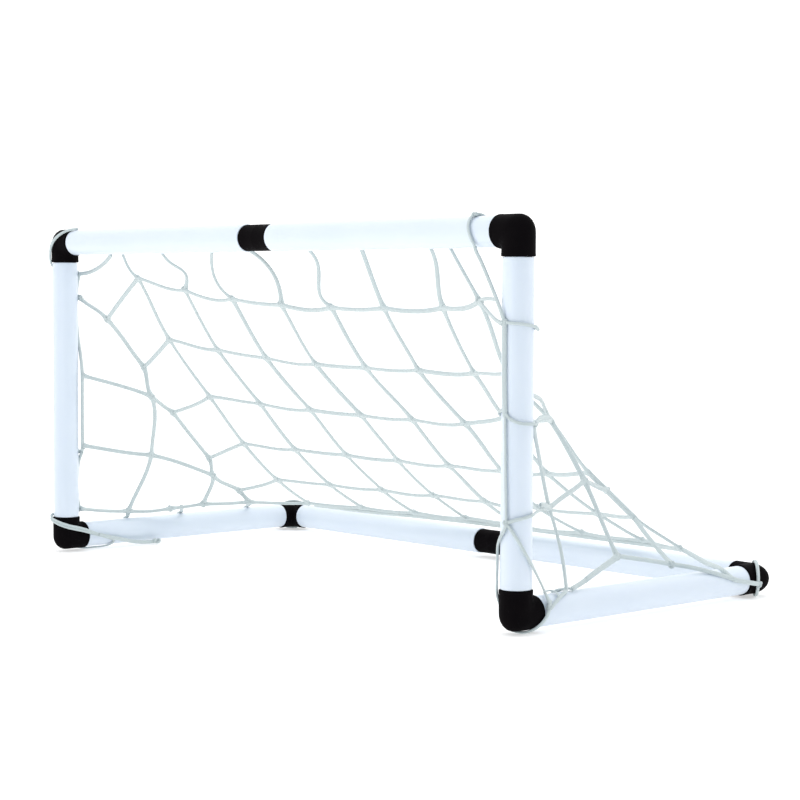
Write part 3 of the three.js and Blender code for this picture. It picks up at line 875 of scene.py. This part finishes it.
def add_bottom_left_loop():
    piece = CordPiece("bottom_left_hitch")
    # two turns lie side by side across the front of the elbow
    piece.route([
        (-318, 14.5, 24), (-327, 11.5, 23), (-332.6, 2.5, 22.2), (-331.2, -7.5, 21.6),
        (-326.6, -13.0, 20.2), (-319.5, -15.0, 18.2), (-311.3, -13.3, 15.6), (-305.2, -6, 12.2),
        (-303.9, 4, 9.5), (-303.9, 14, 6.6), (-303.1, 21, 3.6), (-302.9, 27.6, 1.1),
    ], 131, 0.62)
    piece.route([
        (-333.2, 3.5, 12), (-332.6, -4, 16.6), (-329.8, -10.4, 18.2), (-325, -13.9, 17.4),
        (-318.6, -15.0, 15.6), (-311, -13.2, 13), (-305.2, -6, 9.8), (-303.9, 4, 7.1), (-303.9, 14, 4.4),
        (-304.0, 24, 1.2), (-304.2, 34, -1.8), (-304.6, 44, -4.9), (-306.6, 49.2, -7.6),
        (-310.2, 48.6, -11.2), (-314.6, 43, -13.5), (-317.6, 33, -14.1), (-321.8, 21, -14.2),
        (-328.6, 12.4, -11.4), (-332.6, 7, -5), (-333.6, 4.6, 3), (-333.2, 3.5, 12),
    ], 132, 0.6)
    piece.finish("loop_bottom_left")


def add_bottom_right_loop():
    piece = CordPiece("bottom_right_hitch")
    # from the foot of the front cord down the inner side of the post, under the elbow, and up again
    # outside it
    piece.route([
        (321, -14.1, 71), (319.1, -14.3, 66.2), (314.9, -13.8, 61.1), (309.4, -11, 54),
        (308.2, -10.3, 45.4), (308.2, -10.3, 36.9), (308.6, -11, 26), (306.4, -8.4, 15), (303.9, 0, 2),
        (305.0, 3, -6), (309.5, 4.5, -12.4), (316, 4.2, -14.4), (322.5, 7, -14.2), (328.2, 12, -11),
        (332.2, 17.5, -5), (333.1, 21.2, 1), (332.3, 23.6, 6), (330.2, 26, 9.6),
    ], 133, 0.75)
    piece.route([
        (321.6, -14.1, 71.6), (325.1, -12.8, 67.4), (329.5, -9.4, 59.1), (332.5, -3.4, 48.1),
        (332.4, 6, 35.4), (331.4, 15.6, 22.5), (331.2, 21.8, 12.4), (332.8, 22.8, 5),
        (333.0, 20.8, -0.5),
    ], 134, 0.6)
    piece.knot((332.6, 22.6, 5), (0.1, 0.6, 0.8), (1, 0, 0.2), 135, 1.6)
    piece.finish("loop_bottom_right")


def add_right_side_tie():
    piece = CordPiece("right_side_hitch")
    # the small loop on top of the side tube, and the strand from the side panel that runs into it
    piece.route([
        (331.8, 24.6, 8), (327.6, 25.4, 13), (321.4, 28.8, 14.6), (317.6, 40.2, 14.6),
        (324.9, 39.9, 13.1), (329.6, 36.2, 9.1), (331.2, 30.2, 6.8), (332.4, 25, 4.6),
    ], 136, 0.5)
    piece.route([
        (308.5, 44, -10.2), (304.8, 46, -2.8), (305.8, 49, 6), (311.5, 51.5, 12.4), (318.6, 52.4, 14.4),
        (322.9, 52, 14.2), (327.4, 41.5, 11.3), (330.6, 32.5, 8.2), (332.6, 24.5, 3.9),
    ], 137, 0.7)
    piece.route([
        (322.5, 59.4, 14.4), (317.5, 58.6, 14.6), (310.5, 57, 12), (305.6, 55.6, 5.6),
        (304.6, 54.6, -2.2), (308.2, 54, -9.8),
    ], 138, 0.7)
    piece.finish("tie_right_side")


def add_crossbar_tie():
    piece = CordPiece("crossbar_right_hitch")
    t = TOP
    piece.route([
        (277.5, 13.0, t - 6), (276.5, 13.9, t + 1), (275.2, 9.4, t + 10.4), (274.4, 1.5, t + 14),
        (274.8, -7.6, t + 12.1), (275.8, -12.1, t + 7.6), (277.1, -14, t + 2.7), (278.9, -14, t - 2.7),
        (280.1, -11.4, t - 8.8), (280.2, -9.2, t - 12),
    ], 139, 0.72)
    piece.route([
        (270.5, 8.5, t + 11), (271.5, 1.4, t + 14), (274.6, -4.6, t + 13.6), (277.4, -6, t + 13.2),
    ], 140, 0.6)
    piece.knot((275.6, -4.8, t + 13.6), (0.8, 0.5, 0), (0, 0, 1), 141, 1.5)
    piece.finish("tie_crossbar_right")


def add_post_ties():
    left = ((-SIDE, 0, 0), RIGHT, BACK)
    for node, height, seed in (("tie_left_post_upper", 241, 150), ("tie_left_post_lower", 84, 152)):
        piece = CordPiece(node.replace("tie_", "") + "_hitch")
        # the turn goes round behind the post from its inner side and stops on its outer side
        stations = [
            (a, ON_TUBE + (2.2 if a < 70 else 0), height + 0.04 * (a - 45))
            for a in range(44, 200, 12)
        ]
        piece.route(around_tube(*left, stations), seed, 0.9)
        piece.finish(node)
    piece = CordPiece("right_post_upper_hitch")
    piece.route([
        (318.2, -14.4, 226.4), (323.3, -13.5, 225.7), (329.6, -9.1, 225.2), (332.6, -3.3, 224.2),
        (332.2, 4.6, 223), (323.5, 13.4, 221.4), (313.5, 13.4, 221.6), (306.6, 7.8, 222.6),
        (304.5, -1, 224), (307.6, -9.4, 225.2), (312, -12.8, 226), (317, -14.3, 226),
    ], 154, 0.6)
    piece.route([(331.6, 5.6, 223), (331.2, 8, 221.6), (330.3, 10.4, 220.6)], 155, 0.75)
    piece.finish("tie_right_post_upper")
    piece = CordPiece("right_post_middle_hitch")
    piece.route([
        (319, -14.4, 157.6), (322.9, -13.6, 153.2), (327.8, -10.8, 150.3), (331.6, -5.9, 148.8),
        (332.8, 1.6, 148.6), (330, 9, 147.8), (323, 14, 147), (313.5, 13.4, 148), (306.6, 7.8, 150),
        (304.5, -1, 153), (307.6, -9.4, 156), (312, -12.8, 158), (318, -14.4, 158.8),
    ], 156, 0.6)
    piece.finish("tie_right_post_middle")


def add_left_side_ties():
    side = ((-SIDE, 0, 0), RIGHT, UP)
    places = (
        ("tie_left_side_front", 75, KNOT["l3"]),
        ("tie_left_side_middle", 143.5, (-296, 127, 22.2)),
        ("tie_left_side_back", 233, (-272, 193.5, 24.6)),
    )
    for i, (node, depth, rope) in enumerate(places):
        piece = CordPiece(node.replace("tie_", "") + "_hitch")
        # down from the rope, over the tube's far shoulder and under it
        stations = [(a, ON_TUBE, -depth - 0.02 * (a - 90)) for a in range(98, 240, 14)]
        down = around_tube(*side, stations)
        top = np.array(rope, float)
        piece.route([top, 0.5 * (top + down[0])] + down, 160 + i, 0.9, None, (True, False))
        piece.finish(node)


def add_back_corner_loops():
    for x, name in ((-1, "back_left"), (1, "back_right")):
        piece = CordPiece(name + "_hitch")
        # a ring that stands across the corner, from the outside of one arm to the outside of the other
        centre = np.array([x * (SIDE + 1.4), DEPTH + 1.4, 0])
        across = np.array([x * 0.7071, -0.7071, 0])
        reach = ELBOW_R + 1.4
        points = []
        for i in range(LOOP_STEPS + 1):
            angle = math.radians(-100 + 350 * i / LOOP_STEPS)
            lift = max(math.sin(angle) * reach, SOLE + 1.2)
            points.append(centre + across * math.cos(angle) * 1.28 * reach + np.array([0, 0, lift]))
        piece.route(points, 170 + x, 0.95)
        if x > 0:
            piece.route([
                (331.5, 251, 5.0), (332.7, 258, 3.0), (333.6, 267, 1.0), (334.0, 276, -0.8),
                (334.2, 284.4, -2.4),
            ], 173, 0.95)
            piece.knot((334.2, 284.4, -2.4), (0, 0.2, 1), (1, -0.4, 0), 174, 1.8)
        piece.finish("loop_" + name)


def add_tail():
    """The free end of the cord that is wound round the bottom left corner, with the knot that stops it
    fraying."""
    route = smooth_route([
        (-302.9, 28, 1), (-302.9, 38, -2), (-303, 52, -5.5), (-303.3, 68, -9.5), (-303, 82, -11.7),
        (-301.9, 94, -12.1),
    ])
    t = tangents(route)
    angles = np.arange(CORD_SIDES) * 2 * math.pi / CORD_SIDES
    rings = []
    for i, (at, ahead) in enumerate(zip(route, t)):
        across = np.cross(ahead, (0, 0, 1))
        across /= np.linalg.norm(across)
        up = np.cross(ahead, across)
        # it is drawn thin where it is pulled
        radius = TAIL_CORD * (0.72 + 0.28 * min(1.0, 3.0 * i / len(route)))
        rings.append(at + radius * (np.outer(np.cos(angles), across) + np.outer(np.sin(angles), up)))
    rings = placed(np.array(rings))
    faces, uvs = skin(rings)
    cord = add_piece("free_tail", rings.reshape(-1, 3), faces, uvs, "net_cord", ["tail_bottom_left"])
    stop = CordPiece("free_tail_knot")
    stop.knot((-301.5, 98.2, -11.6), (0.1, 1, 0), (0, 0, 1), 181, 3.8)
    stop.knot((-301.2, 95.6, -12), (1, 0.2, 0), (0, 0, 1), 182, 1.9)
    knot = stop.finish("tail_knot")


add_tail()
add_top_left_loop()
add_bottom_left_loop()
add_bottom_right_loop()
add_right_side_tie()
add_crossbar_tie()
add_post_ties()
add_left_side_ties()
add_back_corner_loops()
add_back_net()
add_left_net()
add_right_net()


# ---------------------------------------------------------------- floor and light
FLOOR_SIZE = 40.0
# the room's light by direction: 0 is across the view or away from the camera, 1 is straight towards it
ROOM_STOPS = (
    (0.0, (1.4, 1.4, 1.4)),
    (0.3, (1.15, 1.16, 1.17)),
    (0.75, (0.46, 0.53, 0.60)),
    (1.0, (0.33, 0.41, 0.49)),
)


def add_floor():
    n = Nodes("studio_floor")
    where = n.add("ShaderNodeTexCoord").outputs["Object"]
    cloud = n.noise(where, 2.0, 2, 0.4)
    tint = n.ramp(cloud, [(0.3, (0.66, 0.66, 0.66)), (0.7, (0.68, 0.68, 0.68))])
    n.feed(n.shader.inputs["Base Color"], tint)
    n.shader.inputs["Roughness"].default_value = 0.9
    n.shader.inputs["Specular IOR Level"].default_value = 0.1
    n.shader.inputs["Emission Color"].default_value = (1.0, 1.0, 1.0, 1.0)
    n.shader.inputs["Emission Strength"].default_value = 0.5
    mesh = bpy.data.meshes.new("floor")
    corners = [(x * FLOOR_SIZE, y * FLOOR_SIZE, 0.0) for x, y in ((-1, -1), (1, -1), (1, 1), (-1, 1))]
    mesh.from_pydata(corners, [], [(0, 1, 2, 3)])
    mesh.materials.append(n.material)
    floor = bpy.data.objects.new("floor", mesh)
    bpy.context.scene.collection.objects.link(floor)


def add_light(name, place, power, size, towards=(0, 0, 0.12)):
    lamp = bpy.data.lights.new(name, "AREA")
    lamp.energy = power
    lamp.size = size
    holder = bpy.data.objects.new(name, lamp)
    holder.location = place
    holder.rotation_mode = "QUATERNION"
    holder.rotation_quaternion = (Vector(towards) - Vector(place)).to_track_quat("-Z", "Y")
    bpy.context.scene.collection.objects.link(holder)


def add_lights():
    """A white room that is dimmer and bluer on the camera's side, so that the tubes shade softly towards
    their middles."""
    world = bpy.data.worlds.new("studio")
    world.use_nodes = True
    tree = world.node_tree
    sky = tree.nodes["Background"]
    where = tree.nodes.new("ShaderNodeTexCoord")
    turned = tree.nodes.new("ShaderNodeVectorMath")
    turned.operation = "DOT_PRODUCT"
    tree.links.new(where.outputs["Generated"], turned.inputs[0])
    turned.inputs[1].default_value = (math.sin(AZIMUTH), -math.cos(AZIMUTH), 0.0)
    ramp = tree.nodes.new("ShaderNodeValToRGB")
    tree.links.new(turned.outputs["Value"], ramp.inputs["Fac"])
    while len(ramp.color_ramp.elements) < len(ROOM_STOPS):
        ramp.color_ramp.elements.new(0.5)
    for element, (place, colour) in zip(ramp.color_ramp.elements, ROOM_STOPS):
        element.position = place
        element.color = (*colour, 1.0)
    tree.links.new(ramp.outputs["Color"], sky.inputs["Color"])
    sky.inputs["Strength"].default_value = 1.0
    bpy.context.scene.world = world
    add_light("overhead", place=(0.0, 0.3, 2.4), power=11, size=2.4)
    add_light("low_fill", place=(0.15, -0.9, 0.35), power=0.75, size=0.5, towards=(-0.15, 0.1, 0.05))


add_floor()
add_lights()
bpy.context.scene.view_settings.view_transform = "Standard"
